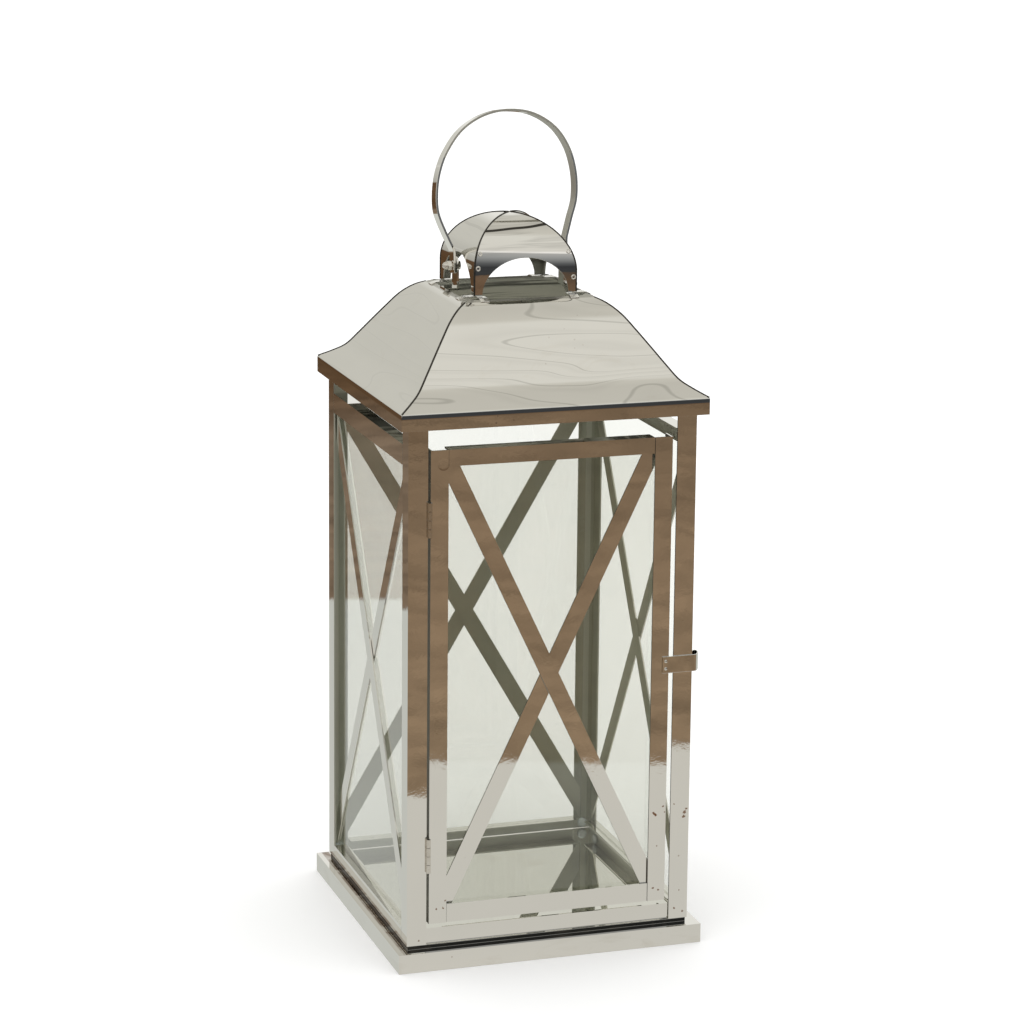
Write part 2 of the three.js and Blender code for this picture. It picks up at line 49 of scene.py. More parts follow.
# ------------------------------------------------------------------ node helpers
class Tree:
    """Short calls for building a material's or the world's nodes."""

    def __init__(self, tree):
        self.tree = tree
        self.tree.nodes.clear()

    def node(self, kind, **settings):
        made = self.tree.nodes.new(kind)
        for key, value in settings.items():
            setattr(made, key, value)
        return made

    def put(self, socket, value):
        if isinstance(value, bpy.types.NodeSocket):
            self.tree.links.new(value, socket)
        elif value is not None:
            socket.default_value = value

    def math(self, operation, a, b=None, c=None, clamp=False):
        made = self.node("ShaderNodeMath", operation=operation, use_clamp=clamp)
        for socket, value in zip(made.inputs, (a, b, c)):
            self.put(socket, value)
        return made.outputs[0]

    def plus(self, a, b):
        return self.math("ADD", a, b)

    def minus(self, a, b):
        return self.math("SUBTRACT", a, b)

    def times(self, a, b, clamp=False):
        return self.math("MULTIPLY", a, b, clamp=clamp)

    def scaled(self, a, b, c, clamp=False):
        """a * b + c"""
        return self.math("MULTIPLY_ADD", a, b, c, clamp)

    def size(self, a):
        return self.math("ABSOLUTE", a)

    def larger(self, a, b):
        return self.math("MAXIMUM", a, b)

    def under(self, a, b):
        return self.math("LESS_THAN", a, b)

    def over(self, a, b):
        return self.math("GREATER_THAN", a, b)

    def step(self, value, edge, width):
        """0 below an edge and 1 above it, with a soft change this wide (negative turns it round)."""
        return self.scaled(value, 1.0 / width, 0.5 - edge / width, clamp=True)

    def between(self, value, low, high, width):
        """1 between two edges and 0 outside them."""
        return self.times(self.step(value, low, width), self.minus(1.0, self.step(value, high, width)))

    def away(self, xyz, x, z):
        """Distance in mm, on a face toward the front or the back, from a place in mm."""
        dx = self.scaled(xyz[0], 1000.0, -x)
        dz = self.scaled(xyz[2], 1000.0, -z)
        return self.math("SQRT", self.scaled(dx, dx, self.times(dz, dz)))

    def off_axis(self, xyz):
        """Half width of the square round the vertical axis that a place lies on."""
        return self.larger(self.size(xyz[0]), self.size(xyz[1]))

    def outward(self, xyz, facing):
        """How far out a face lies in the direction it looks, negative on an inner face."""
        return self.plus(self.times(xyz[0], facing[0]), self.times(xyz[1], facing[1]))

    def mix(self, factor, a, b, blend="MIX"):
        made = self.node("ShaderNodeMix", data_type="RGBA", blend_type=blend)
        self.put(made.inputs[0], factor)
        self.put(made.inputs[6], a)
        self.put(made.inputs[7], b)
        return made.outputs[2]

    def blend(self, factor, a, b):
        made = self.node("ShaderNodeMix", data_type="FLOAT")
        self.put(made.inputs[0], factor)
        self.put(made.inputs[2], a)
        self.put(made.inputs[3], b)
        return made.outputs[0]

    def ramp(self, value, stops):
        made = self.node("ShaderNodeValToRGB")
        elements = made.color_ramp.elements
        while len(elements) < len(stops):
            elements.new(0.5)
        for element, (position, colour) in zip(elements, stops):
            element.position = position
            if not hasattr(colour, "__len__"):
                colour = (colour,) * 3
            element.color = (*colour[:3], 1.0)
        self.put(made.inputs[0], value)
        return made.outputs[0]

    def noise(self, vector, scale, detail=2.0, roughness=0.5, distortion=0.0, w=None):
        made = self.node("ShaderNodeTexNoise")
        if w is not None:
            made.noise_dimensions = "4D"
            made.inputs["W"].default_value = w
        self.put(made.inputs["Vector"], vector)
        made.inputs["Scale"].default_value = scale
        made.inputs["Detail"].default_value = detail
        made.inputs["Roughness"].default_value = roughness
        made.inputs["Distortion"].default_value = distortion
        return made.outputs[0]

    def mapped(self, vector, scale=(1, 1, 1), rotation=(0, 0, 0), location=(0, 0, 0)):
        made = self.node("ShaderNodeMapping")
        self.put(made.inputs["Vector"], vector)
        made.inputs["Scale"].default_value = scale
        made.inputs["Rotation"].default_value = rotation
        made.inputs["Location"].default_value = location
        return made.outputs[0]

    def split(self, vector):
        made = self.node("ShaderNodeSeparateXYZ")
        self.put(made.inputs[0], vector)
        return made.outputs

    def joined(self, xyz):
        made = self.node("ShaderNodeCombineXYZ")
        for socket, value in zip(made.inputs, xyz):
            self.put(socket, value)
        return made.outputs[0]

    def bump(self, height, distance):
        made = self.node("ShaderNodeBump")
        made.inputs["Strength"].default_value = 1.0
        made.inputs["Distance"].default_value = distance
        self.put(made.inputs["Height"], height)
        return made.outputs[0]

    def principled(self, values):
        made = self.node("ShaderNodeBsdfPrincipled")
        for socket, value in values.items():
            self.put(made.inputs[socket], value)
        return made

    def surface(self, shader, kind="ShaderNodeOutputMaterial"):
        self.put(self.node(kind).inputs["Surface"], shader.outputs[0])


def new_material(name):
    material = bpy.data.materials.new(name)
    material.use_nodes = True
    return material, Tree(material.node_tree)


# ------------------------------------------------------------------ polished steel
RUST = (0.22, 0.10, 0.045, 1)
OLD_RUST = (0.20, 0.085, 0.03, 1)
# Painted reflection: the colour of the dark stripes on inner faces.
PAINTED_REFLECTION_STRIPE = (0.06, 0.06, 0.05, 1)
JOINT_SHADE = (0.20, 0.195, 0.175, 1)
# A face looks into the lantern where its outward measure, in metres, is below this.
INNER_FACE = -0.006
# The door's joints: the faces in front of this depth and within this half width, in metres.
JOINT_DEPTH, JOINT_HALF = -0.0935, 0.0932
# The rim of the vent, above this height.
RIM_FROM = 0.46


def rust_specks(t, place, seed, amount):
    """Small rust specks in loose groups."""
    groups = t.ramp(t.noise(place, 9.0, 1.0, w=seed + 7), [(0.60, 0.0), (0.68, 1.0)])
    cells = t.node("ShaderNodeTexVoronoi", feature="F1")
    t.put(cells.inputs["Vector"], t.mapped(place, location=(seed, 0, 0)))
    cells.inputs["Scale"].default_value = 160.0
    ragged = t.plus(cells.outputs["Distance"], t.times(t.noise(place, 900.0, 2.0), 0.16))
    dots = t.ramp(ragged, [(0.17, 1.0), (0.215, 0.0)])
    rare = t.ramp(t.split(cells.outputs["Color"])[0], [(0.70, 0.0), (0.74, 1.0)])
    return t.times(t.times(dots, groups), t.times(rare, amount))


def rust_spots(t, place, xyz, base, spots):
    """Rust at given places (x, z, radius in mm) of a face toward the front or the back."""
    fuzz = t.times(t.minus(t.noise(place, 700.0, 2.0), 0.5), 2.4)
    for x, z, radius in spots:
        away = t.plus(t.away(xyz, x, z), fuzz)
        inside = t.times(t.minus(radius, away), 2.2, clamp=True)
        base = t.mix(t.times(inside, 0.85), base, OLD_RUST)
    return base


def inner_faces(t, place, xyz, facing, base, rough, seed, inner_shade_tint, reflection_stripes):
    """Painted shade on the faces that look into the lantern: a darker colour in random patches on rougher
    metal, with painted dark reflected stripes where asked.
    """
    # Painted shade: inner faces get a darker colour, as if lit only by the dim inside of the lantern.
    inner = t.under(t.outward(xyz, facing), INNER_FACE)
    patches = t.noise(place, 14.0, 3.0, w=seed + 11)
    shaded_inside = t.mix(patches, (*inner_shade_tint, 1), (*(c * 1.2 for c in inner_shade_tint), 1))
    # Painted reflection: dark stripes along the sheet, standing in for what the inner faces reflect.
    bars = t.noise(t.mapped(place, (7, 7, 230)), 1.0, 3.0, 0.6, 0.3, w=seed + 5)
    reflection_striped = t.times(t.ramp(bars, [(0.50, 0.0), (0.58, 1.0)]), reflection_stripes)
    shaded_inside = t.mix(reflection_striped, shaded_inside, PAINTED_REFLECTION_STRIPE)
    return t.mix(inner, base, shaded_inside), t.blend(inner, rough, 0.50)


def joint_faces(t, xyz, facing, base, rough):
    """The edges and flanges in the narrow joints between the posts and the door are darker."""
    sideways = t.over(t.size(facing[0]), 0.85)
    in_front = t.times(t.under(xyz[1], JOINT_DEPTH), sideways)
    joint = t.times(in_front, t.under(t.size(xyz[0]), JOINT_HALF))
    return t.mix(joint, base, JOINT_SHADE), t.blend(joint, rough, 0.45)


def sheet_waves(t, place, xyz, wave, seed, tilt, calm, press):
    """Height in metres of a sheet's waves: broad ones, ragged smaller ones and fine drawn lines."""
    broad = t.noise(place, 20.0, 1.0, 0.5, 0.5, w=seed + 1)
    ragged = t.noise(place, 62.0, 5.0, 0.62, 0.9, w=seed + 2)
    lines = t.noise(t.mapped(place, (300, 300, 1500), (0.0, 0.12, 0)), 1.0, 2.0)
    height = t.times(broad, wave * 2.0 * MM)
    height = t.scaled(ragged, wave * MM, height)
    height = t.scaled(lines, 0.00004 * MM, height)
    if calm:
        quiet = t.times(t.step(t.off_axis(xyz), 0.052, -0.004), t.step(xyz[2], RIM_FROM, 0.01))
        height = t.times(height, t.minus(1.0, quiet))
    height = t.scaled(xyz[2], -math.tan(math.radians(tilt)), height)
    if press:
        x, z, radius = press
        reach = t.math("MINIMUM", t.math("DIVIDE", t.away(xyz, x, z), radius), 1.0)
        dent = t.times(t.minus(1.0, t.math("POWER", reach, 4.0)), -0.035 * MM)
        height = t.plus(height, dent)
    return height


def steel(name, seed, tint=(0.83, 0.815, 0.785), wave=0.008, specks=0.5, inner_and_joint_shade=True, tilt=0.0,
          finish=None, spots=(), press=None, inner_shade_tint=(0.60, 0.61, 0.54), reflection_stripes=0.0, calm=False):
    """Mirror-polished sheet: slight waves, fine polishing lines and a few rust specks. Unless turned
    off, its faces that look into the lantern get rougher metal and painted shade, with painted
    reflected stripes where asked, and its faces in the door's joints get painted shade. Tilt is the
    slight lean of a sheet in degrees, felt only by its reflections. Press is one shallow round mark
    (x, z, radius in mm), and a calm sheet has no waves round the vent."""
    material, t = new_material(name)
    coords = t.node("ShaderNodeTexCoord")
    place = coords.outputs["Object"]
    xyz = t.split(place)
    facing = t.split(coords.outputs["Normal"])
    clouds = t.noise(place, 24.0, 3.0, 0.55, w=seed)
    speck = rust_specks(t, place, seed, specks)
    rough = t.blend(speck, t.blend(clouds, 0.006, 0.016), 0.55)
    base = t.mix(clouds, (*tint, 1), (tint[0] * 0.955, tint[1] * 0.955, tint[2] * 0.95, 1))
    base = t.mix(speck, base, RUST)
    if spots:
        base = rust_spots(t, place, xyz, base, spots)
    if finish:
        base, rough = finish(t, xyz, facing, base, rough)
    if inner_and_joint_shade:
        base, rough = inner_faces(t, place, xyz, facing, base, rough, seed, inner_shade_tint, reflection_stripes)
        base, rough = joint_faces(t, xyz, facing, base, rough)
    height = sheet_waves(t, place, xyz, wave, seed, tilt, calm, press)
    t.surface(t.principled({
        "Metallic": 1.0,
        "Base Color": base,
        "Roughness": rough,
        "Normal": t.bump(height, 1.0),
    }))
    return material


def roof_painted_lines_and_rim(t, xyz, facing, base, rough):
    """Thin wandering contour lines, wider than they are tall, painted as dark reflections, and a duller rim
    at the vent.
    """
    # Painted reflection: thin dark contour lines on the slopes, strongest on the faces toward the front and
    # the back.
    one_way = t.times(t.plus(xyz[0], xyz[1]), 2.6)
    other_way = t.times(t.minus(xyz[0], xyz[1]), 2.6)
    spread = t.joined((one_way, other_way, t.times(xyz[2], 30.0)))
    field = t.noise(spread, 1.0, 1.5, 0.45, 0.5, w=5.3)
    turns = t.math("FRACT", t.times(field, 14.0))
    line = t.ramp(t.size(t.minus(turns, 0.5)), [(0.012, 0.30), (0.045, 0.0)])
    soft = t.ramp(turns, [(0.5, 0.0), (0.75, 0.07), (1.0, 0.0)])
    sloping = t.ramp(facing[2], [(0.25, 0.0), (0.40, 1.0)])
    frontal = t.blend(t.step(t.size(facing[1]), 0.35, 0.3), 0.22, 1.0)
    amount = t.times(t.times(t.plus(line, soft), sloping), frontal)
    cloudy = t.noise(t.mapped(spread, (5, 5, 1.6), (0.5, 0.3, 0.2)), 1.0, 3.0, 0.6, 2.0)
    stain = t.ramp(cloudy, [(0.62, 0.0), (0.74, 0.10)])
    base = t.mix(t.times(stain, sloping), base, (0.55, 0.47, 0.34, 1))
    # The painted reflected lines are dark grey.
    base = t.mix(amount, base, (0.20, 0.20, 0.18, 1))
    rim = t.times(t.step(t.off_axis(xyz), 0.0492, -0.0012), t.step(xyz[2], RIM_FROM, 0.01))
    base = t.mix(rim, base, (0.50, 0.49, 0.45, 1))
    return base, t.blend(rim, rough, 0.34)


def base_shade_reflection_and_stains(t, xyz, facing, base, rough):
    """Painted shade on the upright step under the frame, a painted brown reflection along the left border,
    and faint stains.
    """
    upright = t.minus(1.0, t.step(t.size(facing[2]), 0.6, 0.2))
    # Painted shade: the upright faces of the step under the frame are near black, as in the shadow gap
    # there.
    dark = t.times(t.between(xyz[2], 0.0141, 0.01655, 0.0003), upright)
    base = t.mix(dark, base, (0.035, 0.036, 0.034, 1))
    place = t.joined(xyz)
    # Painted reflection: a ragged brown band along the left border of the tray's top, standing in for the
    # brown room it reflects.
    border = t.between(xyz[0], -0.1112, -0.1056, 0.0010)
    border_noise = t.noise(t.mapped(place, (30, 30, 30)), 1.0, 3.0, 0.6, 1.0)
    ragged = t.ramp(border_noise, [(0.40, 0.35), (0.55, 0.90)])
    seam_tarnish_and_border_reflection = t.times(t.times(border, ragged), t.step(facing[2], 0.6, 0.2))
    base = t.mix(seam_tarnish_and_border_reflection, base, (0.20, 0.13, 0.085, 1))
    cloudy = t.noise(t.mapped(place, (22, 22, 60)), 1.0, 4.0, 0.6, 1.0)
    stain = t.ramp(cloudy, [(0.55, 0.0), (0.75, 0.16)])
    base = t.mix(stain, base, (0.52, 0.46, 0.36, 1))
    return base, t.blend(dark, rough, 0.3)


def crown_painted_reflections(t, xyz, facing, base, rough):
    """Painted dark reflections: streaks and one thin line across the gores that face front and back."""
    spread = t.joined((t.times(xyz[0], 14.0), t.times(xyz[1], 14.0), t.times(xyz[2], 330.0)))
    field = t.noise(spread, 1.0, 2.0, 0.5, 0.4, w=2.1)
    reflected_streak = t.ramp(field, [(0.50, 0.0), (0.60, 0.20), (0.68, 0.06)])
    across = t.ramp(t.size(facing[1]), [(0.15, 0.15), (0.35, 1.0)])
    wiggle = t.times(t.minus(t.noise(t.mapped(spread, (1, 1, 0)), 1.4, 1.0), 0.5), 0.004)
    row = t.plus(t.scaled(xyz[0], -0.06, xyz[2]), wiggle)
    thin = t.step(t.times(t.size(t.minus(row, 0.5210)), 1000.0), 0.75, -0.3)
    high = t.ramp(t.times(t.minus(xyz[2], 0.500), 100.0), [(0.2, 0.0), (0.5, 1.0)])
    # Painted reflection: the streaks and the thin line are nearly black.
    amount = t.times(t.larger(t.times(reflected_streak, high), thin), across)
    return t.mix(amount, base, (0.06, 0.055, 0.05, 1)), rough


# ------------------------------------------------------------------ other materials
def fittings(name, tint=(0.78, 0.76, 0.72), rough=0.12):
    """Bright plated steel of the hinges, bolts and rivets."""
    material, t = new_material(name)
    place = t.node("ShaderNodeTexCoord").outputs["Object"]
    grain = t.noise(t.mapped(place, (400, 400, 1600)), 1.0, 3.0)
    patches = t.noise(place, 120.0, 3.0)
    worn = (tint[0] * 0.84, tint[1] * 0.82, tint[2] * 0.79, 1)
    t.surface(t.principled({
        "Metallic": 1.0,
        "Base Color": t.mix(patches, (*tint, 1), worn),
        "Roughness": t.blend(patches, rough * 0.6, rough * 1.5),
        "Normal": t.bump(grain, 0.0016 * MM),
    }))
    return material


def glass(name, outward, inward, tint):
    """Clear float glass with its faint green-grey tint, thin smears and a soft reflection.
    Outward and inward say how strongly its two faces reflect."""
    material, t = new_material(name)
    coords = t.node("ShaderNodeTexCoord")
    place = coords.outputs["Object"]
    xyz = t.split(place)
    facing = t.split(coords.outputs["Normal"])
    smears = t.noise(t.mapped(place, (9, 9, 5), (0.2, 0.4, 0.1)), 1.0, 4.0, 0.6, 1.5)
    dust = t.ramp(t.noise(place, 700.0, 2.0), [(0.70, 0.0), (0.76, 1.0)])
    smeared = (tint - 0.018, tint - 0.012, tint - 0.034, 1)
    clean = (tint + 0.014, tint + 0.016, tint - 0.004, 1)
    clear = t.node("ShaderNodeBsdfTransparent")
    t.put(clear.inputs[0], t.mix(smears, smeared, clean))
    dusty = t.blend(dust, 0.008, 0.2)
    gloss = t.principled({"Metallic": 1.0, "Base Color": (1, 1, 1, 1), "Roughness": dusty})
    fresnel = t.node("ShaderNodeFresnel")
    fresnel.inputs["IOR"].default_value = 1.5
    entering = t.minus(1.0, t.node("ShaderNodeNewGeometry").outputs["Backfacing"])
    strength = t.blend(t.under(t.outward(xyz, facing), 0.0), outward, inward)
    amount = t.times(fresnel.outputs[0], strength)
    face = t.node("ShaderNodeMixShader")
    t.put(face.inputs[0], t.times(amount, entering, clamp=True))
    t.put(face.inputs[1], clear.outputs[0])
    t.put(face.inputs[2], gloss.outputs[0])
    t.surface(face)
    return material


def soft_pad(name):
    """Clear soft plastic dots, slightly cloudy."""
    material, t = new_material(name)
    place = t.node("ShaderNodeTexCoord").outputs["Object"]
    cloud = t.noise(place, 240.0, 3.0)
    t.surface(t.principled({
        "Base Color": t.mix(cloud, (0.72, 0.80, 0.78, 1), (0.90, 0.94, 0.92, 1)),
        "Roughness": 0.16,
        "Alpha": t.blend(cloud, 0.74, 0.90),
        "Normal": t.bump(cloud, 0.05 * MM),
    }))
    return material


def dark_seam(name):
    """Tarnished metal in the joint between two sheets."""
    material, t = new_material(name)
    place = t.node("ShaderNodeTexCoord").outputs["Object"]
    mottle = t.noise(place, 260.0, 3.0)
    seam_tarnish_and_border_reflection = t.mix(mottle, (0.030, 0.028, 0.025, 1), (0.11, 0.10, 0.085, 1))
    t.surface(t.principled({"Metallic": 1.0, "Base Color": seam_tarnish_and_border_reflection, "Roughness": 0.5}))
    return material


def pale_floor(name):
    material, t = new_material(name)
    place = t.node("ShaderNodeTexCoord").outputs["Object"]
    paint = t.mix(t.noise(place, 5.0, 3.0), (0.95, 0.95, 0.945, 1), (0.97, 0.97, 0.965, 1))
    t.surface(t.principled({"Base Color": paint, "Roughness": 0.9, "Specular IOR Level": 0.0}))
    return material


LEFT_POST_SPOTS = [(-97.9, 20.6, 0.8)]
RIGHT_POST_SPOTS = [
    (95.3, 105.0, 0.8), (103.7, 98.1, 1.3), (103.0, 94.8, 1.4), (104.8, 100.7, 0.9),
    (97.0, 25.1, 0.9), (103.3, 22.1, 0.9), (100.6, 38.6, 0.6),
]
DOOR_SPOTS = [
    (79.5, 99.7, 1.2), (81.1, 98.0, 1.3), (80.4, 98.6, 1.2), (86.8, 104.3, 0.8), (88.0, 99.5, 0.8),
    (80.2, 42.2, 0.9), (84.2, 40.3, 0.9), (82.7, 74.2, 0.7),
    (-85.3, 43.4, 0.9), (-80.1, 43.6, 0.9), (-78.4, 49.0, 0.8),
]
PRESS_MARK = (-81.3, 369.0, 4.4)
STEEL_FRAME = steel("polished_frame_steel", 0.0)
STEEL_POST_LEFT = steel("polished_left_post_steel", 2.6, tilt=0.30, spots=LEFT_POST_SPOTS)
STEEL_POST_RIGHT = steel("polished_right_post_steel", 6.4, tilt=-0.18, spots=RIGHT_POST_SPOTS)
STEEL_DOOR = steel("polished_door_steel", 4.2, wave=0.009, spots=DOOR_SPOTS, press=PRESS_MARK)
STEEL_STRAP = steel("polished_strap_steel", 8.9, wave=0.009, inner_shade_tint=(0.80, 0.80, 0.72))
STEEL_BASE = steel("polished_base_steel", 13.1, wave=0.005, inner_and_joint_shade=False, finish=base_shade_reflection_and_stains)
STEEL_ROOF = steel("polished_roof_steel", 21.7, wave=0.010, specks=0.35, finish=roof_painted_lines_and_rim,
                   inner_shade_tint=(0.47, 0.465, 0.41), reflection_stripes=0.85, calm=True)
STEEL_CROWN = steel("polished_crown_steel", 31.3, wave=0.006, specks=0.3, finish=crown_painted_reflections,
                    inner_shade_tint=(0.42, 0.42, 0.37), reflection_stripes=0.4)
STEEL_RING = steel("polished_handle_steel", 41.9, (0.95, 0.935, 0.90), wave=0.005, specks=0.2,
                   inner_shade_tint=(0.50, 0.49, 0.44))
STEEL_LATCH = steel("polished_latch_steel", 51.0, (0.80, 0.785, 0.75), wave=0.006, specks=0.2, inner_and_joint_shade=False)
PLATED = fittings("plated_fittings")
TAB_STEEL = fittings("tab_steel", (0.93, 0.925, 0.90), 0.22)
RIVET = fittings("bright_rivets", (0.97, 0.96, 0.93), 0.3)
GLASS = glass("clear_glass", 1.8, 1.8, 0.905)
GLASS_SIDE = glass("clear_side_glass", 1.7, 0.2, 0.910)
PAD = soft_pad("clear_soft_plastic")
SEAM = dark_seam("seam_tarnish")


# ------------------------------------------------------------------ mesh helpers
def make_piece(name, verts, faces, material, body, replaces, smooth=True):
    mesh = bpy.data.meshes.new(name)
    mesh.from_pydata([Vector(v) * MM for v in verts], [], faces)
    mesh.validate()
    mesh.materials.append(material)
    for polygon in mesh.polygons:
        polygon.use_smooth = smooth
    made = bpy.data.objects.new(name, mesh)
    bpy.context.scene.collection.objects.link(made)
    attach(made, body)
    if replaces:
        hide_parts(*replaces)
    return made


def bevel(obj, width, segments=2, angle=40):
    made = obj.modifiers.new("edge", "BEVEL")
    made.width = width * MM
    made.segments = segments
    made.limit_method = "ANGLE"
    made.angle_limit = math.radians(angle)
    made.harden_normals = True
    made.use_clamp_overlap = True
    return made


def solidify(obj, thick, offset=-1.0):
    made = obj.modifiers.new("sheet", "SOLIDIFY")
    made.thickness = thick * MM
    made.offset = offset
    made.use_even_offset = True
    return made


def catmull(points, count):
    """Points along the curve through these points, ends included."""
    out = []
    last = len(points) - 1
    for i in range(count + 1):
        p = last * i / count
        k = min(int(p), last - 1)
        w = p - k
        a, b = points[max(k - 1, 0)], points[k]
        c, d = points[k + 1], points[min(k + 2, last)]
        row = []
        for q0, q1, q2, q3 in zip(a, b, c, d):
            v0, v1 = (q2 - q0) / 2, (q3 - q1) / 2
            row.append(
                (2 * q1 - 2 * q2 + v0 + v1) * w**3
                + (-3 * q1 + 3 * q2 - 2 * v0 - v1) * w**2
                + v0 * w
                + q1
            )
        out.append(tuple(row))
    return out


def turn(points, quarter):
    """The same points turned about the vertical axis by quarter turns."""
    c, s = [(1, 0), (0, 1), (-1, 0), (0, -1)][quarter % 4]
    return [(x * c - y * s, x * s + y * c, z) for x, y, z in points]


def grid_faces(rows, per, flip=False):
    """Faces of a sheet whose points come in rows of this many."""
    faces = []
    for i in range(rows - 1):
        for k in range(per - 1):
            a = i * per + k
            faces.append((a, a + 1, a + per + 1, a + per) if flip else (a, a + per, a + per + 1, a + 1))
    return faces


def ring_faces(rings, n, flip=False):
    """Faces between closed rings of n points each."""
    faces = []
    for j in range(rings - 1):
        for k in range(n):
            a, b = j * n + k, j * n + (k + 1) % n
            faces.append((a, a + n, b + n, b) if flip else (a, b, b + n, a + n))
    return faces


def lathe(centre, direction, rings, n):
    """Points of rings (radius, height) round an axis."""
    axis = Vector(direction).normalized()
    side = axis.orthogonal().normalized()
    other = axis.cross(side)
    verts = []
    for radius, height in rings:
        for k in range(n):
            a = 2 * math.pi * k / n
            spoke = side * math.cos(a) + other * math.sin(a)
            verts.append(tuple(Vector(centre) + axis * height + spoke * radius))
    return verts


def seam_strip(name, corner, rows, thick):
    """A dark joint at a corner, through rows of three points that make a low ridge."""
    verts = [point for row in rows for point in row]
    made = make_piece(name, turn(verts, corner), grid_faces(len(rows), 3), SEAM, "body", [])
    solidify(made, thick, 1.0)


# Lengths from here on are in mm.
# ------------------------------------------------------------------ roof
ROOF_HALF, SKIRT, EAVE, SHEET = 114.0, 395.2, 407.5, 1.3
# Half widths and heights of the slope, from the eave to the vent.
KNOTS = [
    (114, 407.5), (104.5, 413), (96.5, 418.8), (89, 428.5), (81, 439.5),
    (72.5, 451), (64, 461.8), (55, 469.2), (45, 473.6),
]
SLOPE = catmull(KNOTS, 160)
PANEL_GAP, NEAR_RIM, RIM_ROWS, COLUMNS = 0.28, 48.2, 5, 72


def slope_height(half):
    """Height of the slope where the roof is this half width."""
    for (h0, z0), (h1, z1) in zip(SLOPE, SLOPE[1:]):
        if h1 <= half <= h0:
            return z0 + (z1 - z0) * (h0 - half) / max(h0 - h1, 1e-6)
    (h0, z0), (h1, z1) = SLOPE[-3], SLOPE[-1]
    return z1 + (z1 - z0) * (h1 - half) / (h0 - h1)


def rim_half(u, half=46.2, corner=8.0):
    """Half width of the vent where the line x = u * y meets its rounded outline."""
    inner = half - corner
    u = abs(u)
    if u * half <= inner:
        return half
    a, b, c = 1 + u * u, -2 * inner * (1 + u), 2 * inner * inner - corner * corner
    return (-b + math.sqrt(max(b * b - 4 * a * c, 0))) / (2 * a)


def roof_panel(side):
    """One panel: upright skirt, rounded fold at the eave, slope, and the edge of the vent."""
    upright = [(0.0, SKIRT), (0.0, SKIRT + 4), (0.0, SKIRT + 8), (0.0, EAVE - 1.17)]
    fold = [(0.10, EAVE - 0.62), (0.34, EAVE - 0.25), (0.75, EAVE + 0.08)]
    rows = [(ROOF_HALF - inset, z) for inset, z in upright + fold]
    halves = [ROOF_HALF - 1.3 - i * 0.95 for i in range(70)]
    rows += [(h, slope_height(h)) for h in halves if h > NEAR_RIM + 0.3]
    verts = []
    for i in range(COLUMNS + 1):
        u = 2 * i / COLUMNS - 1
        end = rim_half(u)
        rim = [NEAR_RIM + (end - NEAR_RIM) * k / RIM_ROWS for k in range(1, RIM_ROWS + 1)]
        for h, z in rows + [(h, slope_height(h)) for h in rim]:
            verts.append((u * (h - PANEL_GAP), -h, z))
    verts = turn(verts, SIDES[side])
    faces = grid_faces(COLUMNS + 1, len(rows) + RIM_ROWS)
    made = make_piece(f"roof_{side}", verts, faces, STEEL_ROOF, "body", [f"roof_panel_{side}"])
    solidify(made, SHEET)
    bevel(made, 0.22, 2, 50)


def roof_tabs(side):
    """The two short tongues of a panel that the crown stands on."""
    verts, faces = [], []
    for sign in (-1, 1):
        x0, x1 = sorted((sign * 30.5, sign * 37.0))
        section = [(-50.0, 472.6), (-47.4, 473.6), (-46.2, 474.0), (-44.0, 474.2), (-37.6, 474.25)]
        section += [(y, z - 1.1) for y, z in reversed(section)]
        start = len(verts)
        for x in (x0, x1):
            verts += [(x, y, z) for y, z in section]
        n = len(section)
        for k in range(n):
            a, b = start + k, start + (k + 1) % n
            faces.append((a, b, b + n, a + n))
        faces.append(tuple(start + k for k in reversed(range(n))))
        faces.append(tuple(start + n + k for k in range(n)))
    verts = turn(verts, SIDES[side])
    made = make_piece(f"roof_tabs_{side}", verts, faces, TAB_STEEL, "body", [], smooth=False)
    bevel(made, 0.25)


def hip_seam(corner):
    """The dark joint along a hip, just below the surface of the two panels it lies between."""
    halves = [113.4 - 0.8 * i for i in range(82)]
    rows = []
    for h in halves:
        if h > 44.5:
            z = slope_height(h)
            rows.append([(-h + s, -h - s, z - drop) for s, drop in ((0.4, 0.46), (0.0, 0.22), (-0.4, 0.46))])
    seam_strip(f"hip_seam_{corner}", corner, rows, 0.5)


for side in SIDES:
    roof_panel(side)
    roof_tabs(side)
for corner in range(4):
    hip_seam(corner)

# ------------------------------------------------------------------ crown
# Half width and power of each seam's curve; a higher power is a fuller shoulder.
CORNERS = [(38.6, 2.2), (38.6, 1.9), (38.8, 2.0), (40.2, 2.0)]
FOOT, SPRING, APEX = 474.7, 490.0, 528.8
ARCH_HALF, ARCH_RISE = 32.3, 25.9


def crown_half(corner, z):
    """Half width of a seam at this height."""
    half, power = CORNERS[corner % 4]
    up = min(1.0, max(0.0, (z - SPRING) / (APEX - SPRING)))
    return half * max(1 - up**power, 0.0) ** (1 / power)


def crown_outline(corner, count):
    """Half widths and heights of a seam, from the foot to the apex."""
    half, power = CORNERS[corner % 4]
    out = [(half, FOOT + (SPRING - FOOT) * i / 6) for i in range(6)]
    for i in range(count + 1):
        turned = i / count * math.pi / 2
        across = math.cos(turned) ** (2 / power) if i < count else 0.0
        out.append((half * across, SPRING + (APEX - SPRING) * math.sin(turned) ** (2 / power)))
    return out


